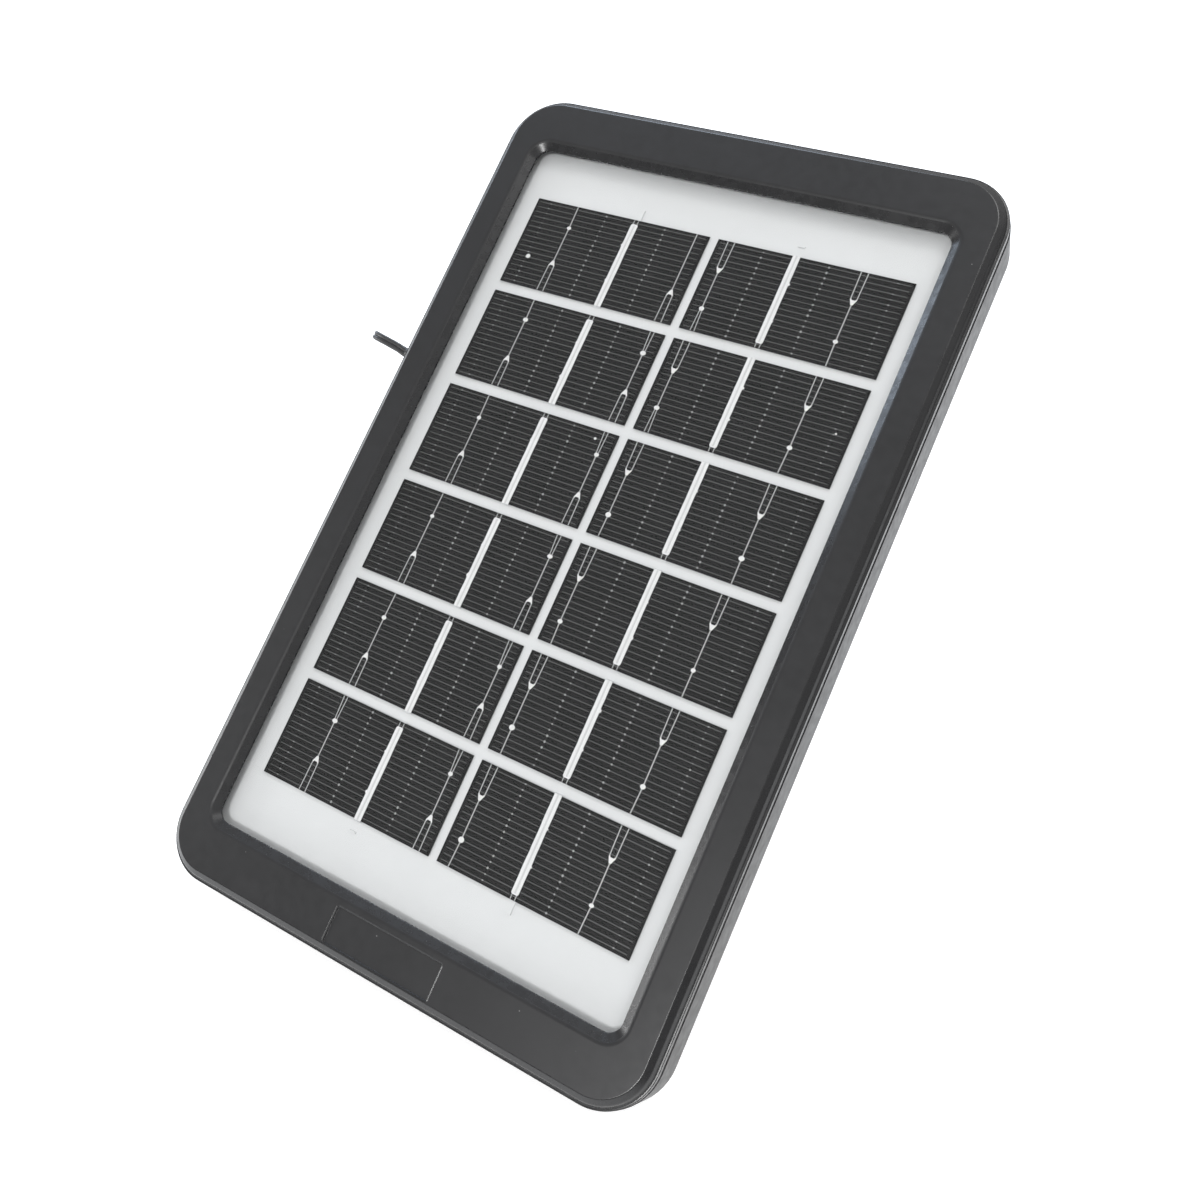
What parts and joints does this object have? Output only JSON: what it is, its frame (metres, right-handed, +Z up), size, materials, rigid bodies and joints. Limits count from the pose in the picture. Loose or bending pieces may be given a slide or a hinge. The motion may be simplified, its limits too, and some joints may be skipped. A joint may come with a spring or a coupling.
{
  "type": "solar panel",
  "caption": "Small framed solar panel: glazed cut cells in a dark plastic frame and case, leant on a rear fold-out leg, with a flat twin lead ending in a barrel plug.",
  "frame": {"origin": "on the surface it stands on, under the middle of the panel's box (lead and plug left out)", "axes": "+X across the panel to the viewer's right, +Y backwards under the lean, +Z up; the glass faces -Y and +Z, 37.2 degrees back from flat"},
  "size_m": [0.165, 0.1976, 0.1544],
  "materials": {
    "bezel_plastic": "fine-textured moulded ABS",
    "case_plastic": "fine-textured moulded ABS",
    "tempered_glass": "clear, flat polished",
    "encapsulant": "clear cured EVA",
    "white_backsheet": "matt white film",
    "silicon_cell": "dark anti-reflection coated silicon",
    "tinned_ribbon": "tinned flat copper ribbon",
    "sealant": "black silicone",
    "foam": "closed-cell foam",
    "circuit_board": "green solder mask",
    "diode_epoxy": "black epoxy",
    "cable_jacket": "satin PVC",
    "screw_steel": "zinc plated",
    "pin_steel": "ground",
    "tie_plastic": "nylon",
    "plug_plastic": "moulded PVC",
    "plug_nickel": "nickel plated",
    "insulator_plastic": "moulded",
    "plug_contact_metal": "plain"
  },
  "bodies": {
    "panel": {"front_frame": "bezel_plastic", "rear_cover": "case_plastic", "glass": "tempered_glass", "eva_front": "encapsulant", "eva_rear": "encapsulant", "backsheet": "white_backsheet", "solar_cell_01": "silicon_cell", "solar_cell_02": "silicon_cell", "solar_cell_03": "silicon_cell", "solar_cell_04": "silicon_cell", "solar_cell_05": "silicon_cell", "solar_cell_06": "silicon_cell", "solar_cell_07": "silicon_cell", "solar_cell_08": "silicon_cell", "solar_cell_09": "silicon_cell", "solar_cell_10": "silicon_cell", "solar_cell_11": "silicon_cell", "solar_cell_12": "silicon_cell", "tab_ribbon_01": "tinned_ribbon", "tab_ribbon_02": "tinned_ribbon", "tab_ribbon_03": "tinned_ribbon", "tab_ribbon_04": "tinned_ribbon", "tab_ribbon_05": "tinned_ribbon", "tab_ribbon_06": "tinned_ribbon", "tab_ribbon_07": "tinned_ribbon", "tab_ribbon_08": "tinned_ribbon", "tab_ribbon_09": "tinned_ribbon", "tab_ribbon_10": "tinned_ribbon", "tab_ribbon_11": "tinned_ribbon", "tab_ribbon_12": "tinned_ribbon", "string_link": "tinned_ribbon", "output_ribbon_positive": "tinned_ribbon", "output_ribbon_negative": "tinned_ribbon", "glass_seal": "sealant", "foam_strips": "foam", "terminal_board": "circuit_board", "blocking_diode": "diode_epoxy", "inner_lead": "cable_jacket", "case_screws": "screw_steel", "cable_grommet": "cable_jacket", "stand_pin": "pin_steel", "lead_tube": "cable_jacket", "lead_coil": "cable_jacket", "coil_tie": "tie_plastic", "plug_boot": "plug_plastic", "plug_body": "plug_plastic", "plug_sleeve": "plug_nickel", "plug_insulator": "insulator_plastic", "plug_contact": "plug_contact_metal"},
    "stand": {"stand": "case_plastic"}
  },
  "joints": [
    {"name": "stand_hinge", "type": "hinge", "parent": "panel", "child": "stand", "pos_m": [0, 0.03696, 0.0979], "axis": [1, 0, 0], "range_deg": [-68, 0]}
  ]
}
